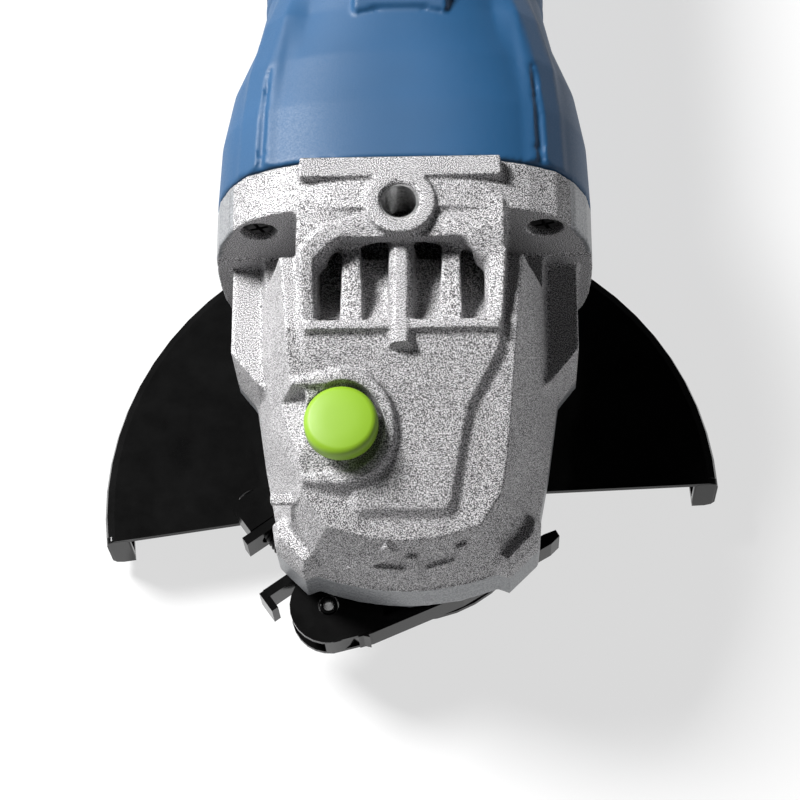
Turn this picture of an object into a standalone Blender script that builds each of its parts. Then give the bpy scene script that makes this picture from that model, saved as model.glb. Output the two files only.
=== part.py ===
"""A 125 mm angle grinder with no disc fitted, modelled as the separate pieces it comes apart into.

Frame: the origin is the centre of the spindle's lower end face. +Z runs up the spindle, the nose of
the gear head faces -Y and the motor barrel runs back along +Y. Sizes below are in millimetres, and
the mesh helpers turn them into Blender's metres.
"""

import math

import bmesh
import bpy
from mathutils import Matrix, Vector

MM = 0.001
GAP = 0.3  # left between pieces that touch
SMOOTH_ANGLE = math.radians(35)
COLUMN_PHASE = 0.31  # keeps the columns of turned pieces off the planes of symmetry

# Heights along the spindle.
MOTOR_Z = 53.0  # motor axis
PLATE_Z = 17.0  # top of the guard's plate
COVER_Z = 27.0  # underside of the bearing cover's plate
HOUSING_Z = 30.3  # underside of the gear housing
BAND_TOP_Z = 41.0  # top of the machined band round the nose
HEAD_TOP_Z = 80.0  # flat part of the head's top
CROWN_Z = 88.0  # handle boss and the bar behind it
SLOPE_Y = 14.0  # the top falls towards the nose in front of this
SLOPE = 0.404

# Lengths along the motor axis.
FLANGE_FRONT_Y = 37.0
SHOULDER = 34.5  # half width of the square block along the top of the flange
FLANGE_Y = 48.0  # joint between the gear head and the motor housing
BARREL_END_Y = 168.0
REAR_Y = 226.0
BRUSH_Y = 133.5

# Gears. Their pitch cones meet where the spindle and motor axes cross.
GEAR_TEETH = 37
PINION_TEETH = 12
GEAR_PITCH_R = 21.5
FACE_WIDTH = 5.6

# Guard and its quick clamp.
GUARD_R = 68.5
GUARD_SHEET = 1.5
GUARD_SKIRT = 14.0
GUARD_LIP = 5.0
GUARD_SPAN = 186.0  # degrees of arc that the guard covers
GUARD_TURN = 5.2  # degrees, how far it is turned from square
NECK_R = 20.5
BAND_R = 21.2
BAND_SHEET = 2.0
CLAMP_FOOT = Vector((-24.7, -17.5))  # where the clamp bolt passes closest to the spindle
CLAMP_DIR = Vector((0.578, -0.816))
CLAMP_OUT = Vector((-0.816, -0.578))
CLAMP_Z = 22.2
PIVOT_ALONG = 12.5

# Spindle lock.
LOCK_X, LOCK_Y = -12.1, -5.8
LOCK_PIN_R = 1.8
BUTTON_R = 7.5
BUTTON_TOP_Z = 79.3

# Threaded holes for the side handle (M8, tapping size).
HANDLE_R = 3.35
HANDLE_BOSS_Y = 38.0
HANDLE_BOSS_R = 7.2
SIDE_PAD_X = 36.5
SIDE_PAD_Y = 27.0
SIDE_PAD_Z = 48.0

FLANGE_SCREWS = [(x, z) for z in (75.5, 30.5) for x in (-29.5, 29.5)]
COVER_SCREWS = [(-21.0, -18.5), (21.0, -18.5), (-22.0, 18.5), (22.0, 18.5)]

# Colours as (red, green, blue), roughness, metallic.
CAST = ((0.58, 0.57, 0.58), 0.55, 0.6)
STEEL = ((0.62, 0.62, 0.64), 0.3, 1.0)
BLACK_STEEL = ((0.015, 0.015, 0.017), 0.25, 0.3)
BLUE = ((0.03, 0.16, 0.36), 0.4, 0.0)
GREEN = ((0.42, 0.72, 0.03), 0.45, 0.0)
BLACK = ((0.02, 0.02, 0.022), 0.55, 0.0)
COPPER = ((0.72, 0.34, 0.16), 0.35, 1.0)
BRASS = ((0.7, 0.5, 0.2), 0.35, 1.0)
CARBON = ((0.05, 0.05, 0.055), 0.8, 0.0)


# ---------------------------------------------------------------- mesh helpers


def circle(radius, count, start=0.0, span=360.0):
    """Points of an arc in degrees. A full circle leaves out the repeated last point."""
    steps = count if span >= 360 else count - 1
    angles = [math.radians(start + span * i / steps) for i in range(count)]
    return [Vector((radius * math.cos(a), radius * math.sin(a))) for a in angles]


def section(half_x, half_z, power, shoulder=0.0, count=40):
    """A superellipse whose upper half may be filled out to square shoulders that far from the middle."""
    points = []
    for i in range(count):
        a = 2 * math.pi * (i + 0.5) / count
        c, s = math.cos(a), math.sin(a)
        reach = (abs(c / half_x) ** power + abs(s / half_z) ** power) ** (-1 / power)
        if s > 0 and shoulder:
            square = min(shoulder / abs(c), (half_z - 3.5) / s)
            chamfer = (shoulder + 0.73 * half_z) / (abs(c) + s)
            reach = max(reach, min(square, chamfer))
        points.append(Vector((reach * c, reach * s)))
    return points


def mirrored(half):
    """A closed outline from its right half, whose first point may lie on the mirror line."""
    left = [(-x, y) for x, y in reversed(half) if abs(x) > 1e-6]
    return [Vector(p) for p in half + left]


def loft(rings):
    """A closed solid through rings of equal count, with flat caps."""
    bm = bmesh.new()
    made = [[bm.verts.new(Vector(p) * MM) for p in ring] for ring in rings]
    for low, high in zip(made, made[1:]):
        for i in range(len(low)):
            j = (i + 1) % len(low)
            bm.faces.new((low[i], low[j], high[j], high[i]))
    bm.faces.new(list(reversed(made[0])))
    bm.faces.new(made[-1])
    bmesh.ops.recalc_face_normals(bm, faces=bm.faces)
    return bm


def split_walls(bm):
    """Splits every face that isn't square to Z into triangles, which are always flat."""
    walls = [f for f in bm.faces if abs(f.normal.z) < 0.999]
    bmesh.ops.triangulate(bm, faces=walls)
    return bm


def prism(outline, low, high):
    """An outline in XY extruded from low to high along Z."""
    return loft([[(p[0], p[1], z) for p in outline] for z in (low, high)])


def prism_x(outline, low, high):
    """An outline of (y, z) points extruded along X."""
    return loft([[(x, p[0], p[1]) for p in outline] for x in (low, high)])


def prism_y(outline, low, high):
    """An outline of (x, z) points extruded along Y."""
    return loft([[(p[0], y, p[1]) for p in outline] for y in (low, high)])


def box(low, high):
    (x0, y0, z0), (x1, y1, z1) = low, high
    return prism([(x0, y0), (x1, y0), (x1, y1), (x0, y1)], z0, z1)


def sided_box(side, low, high):
    """A box given for the right-hand side, or its mirror image for side -1."""
    (x0, y0, z0), (x1, y1, z1) = low, high
    return box((min(side * x0, side * x1), y0, z0), (max(side * x0, side * x1), y1, z1))


def turned(profile, count=24, lifts=None, phase=COLUMN_PHASE):
    """A closed loop of (radius, height) points turned about Z.

    lifts(i) gives the shift of each profile point, as (radius, height) pairs, in the i-th column.
    """
    bm = bmesh.new()
    columns = []
    for i in range(count):
        a = 2 * math.pi * (i + phase) / count
        shifts = lifts(i) if lifts else [(0, 0)] * len(profile)
        column = []
        for (r, z), (dr, dz) in zip(profile, shifts):
            p = Vector(((r + dr) * math.cos(a), (r + dr) * math.sin(a), z + dz)) * MM
            column.append(bm.verts.new(p))
        columns.append(column)
    for i in range(count):
        a, b = columns[i], columns[(i + 1) % count]
        for j in range(len(profile)):
            k = (j + 1) % len(profile)
            if profile[j][0] or profile[k][0]:
                bm.faces.new((a[j], a[k], b[k], b[j]))
    bmesh.ops.remove_doubles(bm, verts=bm.verts, dist=1e-7)
    bmesh.ops.recalc_face_normals(bm, faces=bm.faces)
    return split_walls(bm)


def shaft(steps, count=24):
    """A solid of revolution from (radius, low, high) steps, lowest first."""
    profile = [(0, steps[0][1])]
    for r, low, high in steps:
        profile += [(r, low), (r, high)]
    return turned(profile + [(0, steps[-1][2])], count)


def tube(inner, outer, low, high, count=24):
    return turned([(inner, low), (outer, low), (outer, high), (inner, high)], count)


def cylinder(radius, low, high, count=24):
    return shaft([(radius, low, high)], count)


def along_y(bm, x=0.0, z=MOTOR_Z):
    """Turns a piece made about Z so that it runs along +Y through (x, z)."""
    bm.transform(Matrix.Translation(Vector((x, 0, z)) * MM) @ Matrix.Rotation(-math.pi / 2, 4, "X"))
    return bm


def along_x(bm, side, y, z):
    """Turns a piece made about Z so that it runs out along X, to the right for side 1."""
    bm.transform(Matrix.Translation(Vector((0, y, z)) * MM) @ Matrix.Rotation(side * math.pi / 2, 4, "Y"))
    return bm


def moved(bm, x=0.0, y=0.0, z=0.0):
    bm.transform(Matrix.Translation(Vector((x, y, z)) * MM))
    return bm


# -------------------------------------------------------------- object helpers


def material(colour):
    (red, green, blue), roughness, metallic = colour
    name = f"finish_{red:.2f}_{green:.2f}_{blue:.2f}"
    found = bpy.data.materials.get(name)
    if found:
        return found
    made = bpy.data.materials.new(name)
    made.use_nodes = True
    shader = made.node_tree.nodes["Principled BSDF"]
    shader.inputs["Base Color"].default_value = (red, green, blue, 1)
    shader.inputs["Roughness"].default_value = roughness
    shader.inputs["Metallic"].default_value = metallic
    return made


def piece(name, bm, colour, parent=None):
    """A named solid, under the empty on its joint's axis if it moves."""
    mesh = bpy.data.meshes.new(name)
    bm.to_mesh(mesh)
    bm.free()
    mesh.shade_smooth()
    mesh.set_sharp_from_angle(angle=SMOOTH_ANGLE)
    obj = bpy.data.objects.new(name, mesh)
    bpy.context.scene.collection.objects.link(obj)
    obj.data.materials.append(material(colour))
    if parent:
        obj.parent = parent
    return obj


def axis(name, x=0.0, y=0.0, z=0.0, rotation=(0, 0, 0)):
    empty = bpy.data.objects.new(name, None)
    empty.location = Vector((x, y, z)) * MM
    empty.rotation_euler = rotation
    bpy.context.scene.collection.objects.link(empty)
    return empty


def apply_tool(target, bm, operation):
    """Joins a mesh to the target or cuts it away, with the helper object left hidden."""
    number = len(target.modifiers)
    mesh = bpy.data.meshes.new(f"tool_{target.name}_{number}")
    bm.to_mesh(mesh)
    bm.free()
    tool = bpy.data.objects.new(mesh.name, mesh)
    bpy.context.scene.collection.objects.link(tool)
    tool.parent = target.parent
    tool.hide_render = True
    tool.display_type = "WIRE"
    modifier = target.modifiers.new(f"{operation.lower()}_{number}", "BOOLEAN")
    modifier.operation = operation
    modifier.solver = "EXACT"
    modifier.object = tool


def join(target, *meshes):
    for bm in meshes:
        apply_tool(target, bm, "UNION")


def cut(target, *meshes):
    for bm in meshes:
        apply_tool(target, bm, "DIFFERENCE")


# ------------------------------------------------------------------- gear head


def head_top(y):
    """Height of the head's top at y: flat at the back, falling to the nose."""
    return HEAD_TOP_Z - max(0.0, SLOPE_Y - y) * SLOPE


# Right half of the head's plan, nose first, at the band and at the top edge.
NOSE_PLAN = [(0, -29.5), (11, -28.2), (22, -24.6), (27, -19), (30.2, -2), (33, 17), (34, 38)]
TOP_PLAN = [(0, -26.4), (7.5, -25.8), (15.5, -23.6), (19.8, -17.5), (24.6, 0), (26, 14), (26, 38)]


def head_body():
    """The tapering casting, with a top made of strips from side to side."""
    bm = bmesh.new()

    def ring(half, height):
        right = [bm.verts.new(Vector((x, y, height(y))) * MM) for x, y in half]
        left = [bm.verts.new(Vector((-x, y, height(y))) * MM) for x, y in half[1:]]
        return right, [right[0]] + left

    rings = [
        ring(NOSE_PLAN, lambda y: HOUSING_Z),
        ring(NOSE_PLAN, lambda y: BAND_TOP_Z),
        ring(TOP_PLAN, head_top),
    ]
    for (low_right, low_left), (high_right, high_left) in zip(rings, rings[1:]):
        for low, high in ((low_right, high_right), (low_left, high_left)):
            for i in range(len(low) - 1):
                bm.faces.new((low[i], low[i + 1], high[i + 1], high[i]))
        bm.faces.new((low_right[-1], low_left[-1], high_left[-1], high_right[-1]))
    for right, left in (rings[0], rings[-1]):
        bm.faces.new((right[0], right[1], left[1]))
        for i in range(1, len(right) - 1):
            bm.faces.new((right[i], right[i + 1], left[i + 1], left[i]))
    bmesh.ops.recalc_face_normals(bm, faces=bm.faces)
    return split_walls(bm)


def button_wall():
    """The U-shaped wall round the lock button, open to the left."""
    outer, inner, end_x = 10.7, 8.4, -27.5
    arc_out = [p + Vector((LOCK_X, LOCK_Y)) for p in circle(outer, 13, -90, 180)]
    arc_in = [p + Vector((LOCK_X, LOCK_Y)) for p in circle(inner, 13, 90, -180)]
    outline = [
        Vector((end_x, LOCK_Y - outer)),
        *arc_out,
        Vector((end_x, LOCK_Y + outer)),
        Vector((end_x, LOCK_Y + inner)),
        *arc_in,
        Vector((end_x, LOCK_Y - inner)),
    ]
    tops = [wall_top(p) for p in outline]
    bm = loft([[(p.x, p.y, 58.0) for p in outline], [(p.x, p.y, z) for p, z in zip(outline, tops)]])
    return split_walls(bm)


def wall_top(p):
    """Height of the wall: parallel to the head's top, falling away towards the left flank."""
    return head_top(p.y) + 1.9 - 0.42 * max(0.0, LOCK_X - 4.0 - p.x)


def raised_panel():
    """Low plateau on the sloping top, between the nose and the air outlet."""
    right = [(8.5, -21.0), (9.6, -19.8), (11.5, -10.0), (13.5, -1.5), (19.6, 8.6), (20.4, 13.0)]
    outline = mirrored(right)
    rings = [[(x, y, head_top(y) + rise) for x, y in outline] for rise in (-4.0, 1.3)]
    return split_walls(loft(rings))


def corner_post(side):
    """Post round the cover screw at one front corner, with a sloping top."""
    plan = [(19.6, -25.9), (22.4, -25.6), (27.4, -20.2), (27.8, -16.6), (23.0, -15.0), (18.0, -20.0)]
    top = [(20.6, -24.0), (22.0, -23.9), (25.4, -20.0), (25.9, -17.2), (23.0, -15.0), (18.0, -20.0)]
    rings = [(plan, HOUSING_Z), (plan, 42.5), (top, 48.5)]
    return split_walls(loft([[(side * x, y, z) for x, y in points] for points, z in rings]))


def vent_frame():
    """Raised rim round the air outlet."""
    outline = [(-19.7, 12.6), (20.2, 12.6), (21.2, 28.1), (17.8, 33.0), (-15.6, 33.8), (-20.3, 29.3)]
    return prism(outline, 74.0, 81.3)


def thumb_relief():
    """Wedge taken out of the left flank between the wall's arms."""
    outline = [(-19.5, 80), (-19.5, 71.5), (-25.5, 66.0), (-33, 50), (-40, 50), (-40, 80)]
    return prism_y(outline, LOCK_Y - 8.4, LOCK_Y + 8.4)


def side_pad(side):
    """The boss for the side handle on one flank."""
    plan = [(28, 8), (31, 10.5), (SIDE_PAD_X, 17.5), (SIDE_PAD_X, 39), (28, 39)]
    return prism([(side * x, y) for x, y in plan], SIDE_PAD_Z - 11, SIDE_PAD_Z + 11)


def vent_plan():
    return [(-17, 14), (17, 14), (17, 26.5), (12.5, 31), (-12.5, 31), (-17, 26.5)]


def gear_housing():
    housing = piece("gear_housing", head_body(), CAST)
    flange = [Vector((p.x, p.y + MOTOR_Z)) for p in section(40, 34, 3, SHOULDER)]
    hood = [(24, 79), (27, 83.5), (31, 85.5), (39, 86), (39, 70), (24, 70)]
    join(
        housing,
        prism_y(flange, FLANGE_FRONT_Y, FLANGE_Y),
        prism_x(hood, -21, 21),
        box((-20.5, 43.5, 80), (20.5, FLANGE_Y - 0.01, CROWN_Z)),
        moved(cylinder(HANDLE_BOSS_R, 70, CROWN_Z, 32), y=HANDLE_BOSS_Y),
        raised_panel(),
        vent_frame(),
        corner_post(1),
        corner_post(-1),
        button_wall(),
        side_pad(1),
        side_pad(-1),
    )
    duct = [(16, 77), (24, 71.5), (49, 71.5), (49, 82.5), (29, 82.5), (29, 77)]
    cut(
        housing,
        moved(prism(vent_plan(), 76, 95)),
        prism_x(duct, -16.9, 16.9),
        thumb_relief(),
    )
    rib = [(-3.2, 70), (3.2, 70), (2.4, 81.2), (1.2, 82.6), (-1.2, 82.6), (-2.4, 81.2)]
    join(
        housing,
        prism_y(rib, 9.0, 33.0),
        box((-11.8, 13, 71), (-8.6, 33, 79.4)),
        box((8.6, 13, 71), (11.8, 33, 79.4)),
    )
    lock_bore = [(LOCK_PIN_R + 0.3, 50, 60.7), (4.6, 60.7, 70.8), (BUTTON_R + 0.6, 70.8, 95)]
    for side in (-1, 1):
        notch = [(side * x, y) for x, y in ((21.6, 29.5), (45, 29.5), (45, 37.4), (21.6, 37.4))]
        cut(
            housing,
            prism(notch, 63, 95),
            along_x(cylinder(HANDLE_R, 22, 40, 20), side, SIDE_PAD_Y, SIDE_PAD_Z),
        )
    cut(
        housing,
        moved(cylinder(HANDLE_R, 74, 95, 20), y=HANDLE_BOSS_Y),
        moved(shaft(lock_bore, 24), LOCK_X, LOCK_Y),
    )
    for x, z in FLANGE_SCREWS:
        cut(housing, along_y(shaft([(3.8, 29, 41), (2.6, 41, 49.5)], 12), x, z))
    for x, y in COVER_SCREWS:
        cut(housing, moved(cylinder(2.1, 30, 41, 8), x, y))
    cut(
        housing,
        shaft([(23.5, HOUSING_Z - 1, 59), (6.6, 59, 67.5)], 32),
        along_y(shaft([(14.6, 12, 44.9), (30.5, 44.9, 49)], 32)),
    )
    return housing


def bearing_cover():
    """Plate under the gear chamber, with the neck that carries the guard."""
    front = [(0, -28.6), (11, -27.3), (21.4, -23.8), (26.2, -18.6)]
    plan = mirrored(front + [(29.0, -2), (28.6, 8), (26, 22), (18, 28), (0, 29)])
    cover = piece("bearing_cover", prism(plan, COVER_Z, HOUSING_Z - GAP), CAST)
    join(cover, cylinder(NECK_R, PLATE_Z + 0.6, COVER_Z + 1, 32))
    cut(cover, shaft([(8.8, 16, 19.6), (16.3, 19.6, 33)], 28))
    for x, y in COVER_SCREWS:
        cut(cover, moved(shaft([(4.0, 26, 28.6), (2.3, 28.6, 33)], 10), x, y))


def cap_screw(name, steps, place):
    """A screw of turned steps with a cross recess left to the render."""
    piece(name, place(shaft(steps, 10)), STEEL)


def screws():
    for i, (x, z) in enumerate(FLANGE_SCREWS):
        steps = [(3.4, 38.2, 40.7), (2.1, 40.7, 62.0)]
        cap_screw(f"flange_screw_{i + 1}", steps, lambda bm, x=x, z=z: along_y(bm, x, z))
    for i, (x, y) in enumerate(COVER_SCREWS):
        steps = [(3.6, 26.7, 28.3), (1.8, 28.3, 38.0)]
        cap_screw(f"cover_screw_{i + 1}", steps, lambda bm, x=x, y=y: moved(bm, x, y))


# ----------------------------------------------------------- spindle and gears

MODULE = 2 * GEAR_PITCH_R / GEAR_TEETH
PINION_PITCH_R = GEAR_PITCH_R * PINION_TEETH / GEAR_TEETH
CONE_LENGTH = math.hypot(GEAR_PITCH_R, PINION_PITCH_R)
INNER_SHARE = 1 - FACE_WIDTH / CONE_LENGTH


def bevel_wheel(teeth, pitch_r, apex, body, first_tip):
    """A bevel wheel about Z whose pitch cone opens away from the apex at height zero.

    body is the closed profile from the tooth ring's outer foot to its inner foot. Each tooth takes
    two columns: one at the root and one at the tip.
    """
    slope = math.atan2(pitch_r, apex)
    up, out = math.sin(slope), math.cos(slope)
    tip, root = 0.6 * MODULE, -1.05 * MODULE
    profile = [(pitch_r * INNER_SHARE, -apex * INNER_SHARE), (pitch_r, -apex)] + body

    def lifts(i):
        height = tip if i % 2 == first_tip else root
        shift = [(height * out * k, height * up * k) for k in (INNER_SHARE, 1)]
        return shift + [(0, 0)] * len(body)

    return turned(profile, teeth * 2, lifts, 0)


def spindle_group():
    hub = axis("spindle_axis")
    spindle = [(6.9, 0, 15.5), (8.2, 15.5, 19.5), (5.8, 19.5, 45.5), (4.0, 45.5, 66.5)]
    piece("spindle", shaft(spindle, 28), STEEL, hub)
    piece("spindle_bearing_inner", tube(6.1, 9.0, 19.8, 29.8, 24), STEEL, hub)
    drop = MOTOR_Z - PINION_PITCH_R
    body = [(21.0, 41.5 - MOTOR_Z), (9.0, 40.5 - MOTOR_Z), (9.0, 30.6 - MOTOR_Z), (6.1, 30.6 - MOTOR_Z)]
    body += [(6.1, 44.0 - MOTOR_Z), (15.6, 44.5 - MOTOR_Z)]
    wheel = moved(bevel_wheel(GEAR_TEETH, GEAR_PITCH_R, MOTOR_Z - drop, body, 1), z=MOTOR_Z)
    wheel.transform(Matrix.Rotation(math.radians(90), 4, "Z"))
    gear = piece("bevel_gear", wheel, STEEL, hub)
    lock_angle = math.atan2(LOCK_Y, LOCK_X)
    lock_r = math.hypot(LOCK_X, LOCK_Y)
    for quarter in range(4):
        a = lock_angle + quarter * math.pi / 2
        cut(gear, moved(cylinder(LOCK_PIN_R + 0.7, 35, 52, 12), lock_r * math.cos(a), lock_r * math.sin(a)))
    flange = [(7.2, 9.5), (11.1, 9.5), (11.1, 11.2), (20.0, 11.2), (20.0, 13.2), (13.0, 15.2), (7.2, 15.2)]
    piece("inner_flange", turned(flange, 32), BLACK_STEEL, hub)
    nut = [(7.2, 0.5), (17.5, 0.5), (18.5, 1.5), (18.5, 6.3), (7.2, 6.3)]
    lock_nut = piece("lock_nut", turned(nut, 28), BLACK_STEEL, axis("lock_nut_axis"))
    for side in (-1, 1):
        cut(lock_nut, moved(cylinder(2.4, -1, 4.5, 10), x=side * 13.5))
    piece("spindle_bearing_outer", tube(9.3, 16.0, 19.9, 29.9, 24), STEEL)
    piece("spindle_bush", tube(4.2, 6.3, 59.3, 67.2, 20), BRASS)


def lock_group():
    """Button, pin and spring of the spindle lock, which moves down along Z."""
    hub = axis("lock_axis", LOCK_X, LOCK_Y)
    cap = [(0, 74.6), (BUTTON_R - 0.3, 74.6), (BUTTON_R, 75.0), (BUTTON_R, 78.2)]
    cap += [(BUTTON_R - 1.0, 79.1), (0, BUTTON_TOP_Z)]
    piece("lock_button", turned(cap, 32), GREEN, hub)
    piece("lock_pin", shaft([(LOCK_PIN_R, 49.0, 71.9), (3.9, 71.9, 74.3)], 16), STEEL, hub)
    piece("lock_spring", helix(2.9, 0.45, 61.4, 71.2, 4), STEEL)


def helix(radius, wire, low, high, turns, sides=6, per_turn=12):
    """A coil spring standing on the lock's axis, with flat ends to its wire."""
    count = turns * per_turn + 1
    rings = []
    for i in range(count):
        a = 2 * math.pi * i / per_turn
        z = low + (high - low) * i / (count - 1)
        ring = []
        for j in range(sides):
            b = 2 * math.pi * j / sides
            r = radius + wire * math.cos(b)
            ring.append((LOCK_X + r * math.cos(a), LOCK_Y + r * math.sin(a), z + wire * math.sin(b)))
        rings.append(ring)
    return loft(rings)


# ----------------------------------------------------------------------- motor


def rotor_group():
    """Pieces turned about their own Z, which the empty lays along the motor axis."""
    hub = axis("rotor_axis", z=MOTOR_Z, rotation=(-math.pi / 2, 0, 0))
    piece("rotor_shaft", shaft([(3.4, 13.5, 27.0), (4.7, 27.0, 154.0)], 20), STEEL, hub)
    body = [(5.6, -26.8), (3.7, -26.8), (3.7, -14.6)]
    wheel = bevel_wheel(PINION_TEETH, PINION_PITCH_R, GEAR_PITCH_R, body, 0)
    wheel.transform(Matrix.Rotation(math.pi, 4, "X"))
    piece("bevel_pinion", wheel, STEEL, hub)
    piece("rotor_bearing_front_inner", tube(5.0, 7.6, 28.0, 36.0, 20), STEEL, hub)
    piece("rotor_bearing_rear_inner", tube(5.0, 6.3, 145.0, 151.0, 20), STEEL, hub)
    plate = [(5.0, 52.0), (9.0, 52.0), (9.0, 60.0), (28.5, 60.0), (28.5, 62.0), (5.0, 62.0)]
    fan = piece("cooling_fan", turned(plate, 36), BLACK, hub)
    blades = 9
    for i in range(blades):
        blade = box((8.5, -0.8, 52.5), (28.0, 0.8, 61.0))
        blade.transform(Matrix.Rotation(2 * math.pi * i / blades, 4, "Z"))
        join(fan, blade)
    piece("armature_winding_front", tube(5.0, 14.0, 66.0, 73.7, 28), COPPER, hub)
    piece("armature_core", tube(5.0, 17.5, 74.0, 118.0, 36), STEEL, hub)
    piece("armature_winding_rear", tube(5.0, 14.0, 118.3, 124.5, 28), COPPER, hub)
    piece("commutator", tube(5.0, 11.0, 126.0, 141.0, 32), COPPER, hub)


def stator():
    """Laminated ring with two pole shoes, and a field coil in the gap at each side."""
    core = piece("stator_core", along_y(tube(23.6, 27.0, 74.0, 118.0, 36)), STEEL)
    for start in (50, 230):
        outline = circle(25.0, 9, start, 80) + circle(18.2, 9, start + 80, -80)
        join(core, along_y(prism(outline, 74.2, 117.8)))
    for name, start in (("field_coil_right", -36), ("field_coil_left", 144)):
        outline = circle(23.2, 9, start, 72) + circle(18.6, 9, start + 72, -72)
        piece(name, along_y(prism(outline, 66.0, 124.5)), COPPER)


def fan_baffle():
    piece("fan_baffle", along_y(tube(20.0, 30.2, 63.0, 65.4, 32)), BLACK)


def brush_gear():
    y, z = BRUSH_Y, MOTOR_Z
    for name, side in (("right", 1), ("left", -1)):
        frame = sided_box(side, (13.0, y - 5.2, z - 4.2), (26.0, y + 5.2, z + 4.2))
        holder = piece(f"brush_holder_{name}", frame, BRASS)
        cut(holder, sided_box(side, (12.0, y - 4.2, z - 3.2), (27.0, y + 4.2, z + 3.2)))
        brush = sided_box(side, (11.4, y - 3.9, z - 2.9), (22.0, y + 3.9, z + 2.9))
        piece(f"carbon_brush_{name}", brush, CARBON)
        cap = shaft([(5.0, 26.6, 29.4), (6.6, 29.4, 31.4)], 20)
        piece(f"brush_cap_{name}", along_x(cap, side, y, z), BLACK)


# ------------------------------------------------------- housings and controls

# Stations of the motor housing: (y, half width, half height, power, centre height, shoulder).
BARREL = [
    (FLANGE_Y + GAP, 40.0, 34.0, 3.0, MOTOR_Z, SHOULDER),
    (62.0, 39.4, 33.6, 3.0, MOTOR_Z, SHOULDER - 0.6),
    (74.0, 37.4, 32.8, 2.8, MOTOR_Z, SHOULDER - 2.0),
    (86.0, 33.2, 31.4, 2.5, MOTOR_Z, SHOULDER - 5.0),
    (98.0, 30.6, 30.4, 2.4, MOTOR_Z, 0.0),
    (BARREL_END_Y, 29.2, 29.8, 2.4, MOTOR_Z, 0.0),
]
REAR = [
    (BARREL_END_Y + GAP, 29.8, 30.4, 2.4, MOTOR_Z, 0.0),
    (185.0, 29.0, 30.6, 2.6, 52.0, 0.0),
    (205.0, 28.0, 31.0, 2.8, 50.5, 0.0),
    (218.0, 26.6, 30.0, 2.9, 50.0, 0.0),
    (REAR_Y, 22.0, 25.0, 2.6, 50.0, 0.0),
]


def stations(rows, count=32):
    rings = []
    for y, half_x, half_z, power, centre, shoulder in rows:
        ring = section(half_x, half_z, power, shoulder, count)
        rings.append([(p.x, y, p.y + centre) for p in ring])
    return split_walls(loft(rings))


def motor_housing():
    housing = piece("motor_housing", stations(BARREL, 40), BLUE)
    rail_end = BARREL_END_Y - 0.5
    rail = [(78, 80), (84, 85.0), (90, 86.5), (160, 86.0), (rail_end, 84.5), (rail_end, 78)]
    join(housing, prism_x(rail, -10, 10))
    cut(
        housing,
        box((-6.5, 86, 80.6), (6.5, 166, 83.4)),
        box((-6.5, 155, 70), (6.5, 171, 83.4)),
        box((-5.0, 92, 82), (5.0, 124, 90)),
    )
    for side in (-1, 1):
        cut(housing, along_x(shaft([(5.3, 22, 29.1), (7.0, 29.1, 34)], 20), side, BRUSH_Y, MOTOR_Z))
        for z in (46.0, 53.0, 60.0):
            cut(housing, sided_box(side, (26, 152.6, z - 1.6), (34, 164, z + 1.6)))
    for x, z in FLANGE_SCREWS:
        cut(housing, along_y(cylinder(2.4, 47, 63, 8), x, z))
    chamber = [(31.0, 47), (31.0, 70), (27.3, 73), (27.3, 143.0), (9.8, 143.0)]
    chamber += [(9.8, 152.0), (27.3, 152.0), (27.3, 170)]
    cut(housing, along_y(turned([(0, 47)] + chamber + [(0, 170)], 36)))


def rear_cover():
    cover = piece("rear_cover", stations(REAR), BLACK)
    hollow = [
        (BARREL_END_Y - 1, 26.6, 27.4, 2.4, MOTOR_Z, 0.0),
        (205.0, 24.8, 27.8, 2.7, 51.0, 0.0),
        (219.0, 21.0, 24.0, 2.7, 50.0, 0.0),
    ]
    cut(cover, stations(hollow), moved(along_y(cylinder(6.6, 210, 230, 24)), z=-3))
    for x in (-15.0, 15.0):
        bore, seat = cylinder(1.8, 205, 230, 12), cylinder(3.6, 221.0, 230, 14)
        cut(cover, along_y(bore, x, 66.0), along_y(seat, x, 66.0))
    for i, x in enumerate((-15.0, 15.0)):
        steps = [(1.4, 206.0, 221.5), (3.2, 221.5, 224.0)]
        cap_screw(f"rear_cover_screw_{i + 1}", steps, lambda bm, x=x: along_y(bm, x, 66.0))
    collar = REAR_Y + GAP
    profile = [(4.3, 213.0), (9.0, 213.0), (9.0, 218.4), (6.2, 218.4)]
    profile += [(6.2, collar), (8.5, collar), (8.5, collar + 3.7), (4.3, collar + 3.7)]
    piece("cord_inlet", moved(along_y(turned(profile, 28)), z=-3), BLACK)
    piece("switch_body", box((-9, 180, 52), (9, 204, 74)), BLACK)


def slider_group():
    """Thumb slider and the rod that carries its movement back to the switch."""
    hub = axis("slider_axis")
    knob = [(95.5, 86.9), (121.0, 86.9), (120.0, 89.0), (112, 90.0), (99, 91.0), (96.5, 89.5)]
    slider = piece("switch_slider", prism_x(knob, -7.5, 7.5), BLACK, hub)
    join(slider, box((-4.6, 100, 82.6), (4.6, 116, 87.5)))
    lower = [(99, 81), (164.5, 81), (164.5, 74), (178, 74)]
    upper = [(178, 75.3), (165.8, 75.3), (165.8, 82.3), (99, 82.3)]
    piece("switch_rod", prism_x(lower + upper, -3.0, 3.0), STEEL, hub)


# ------------------------------------------------------------- guard and clamp


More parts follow.
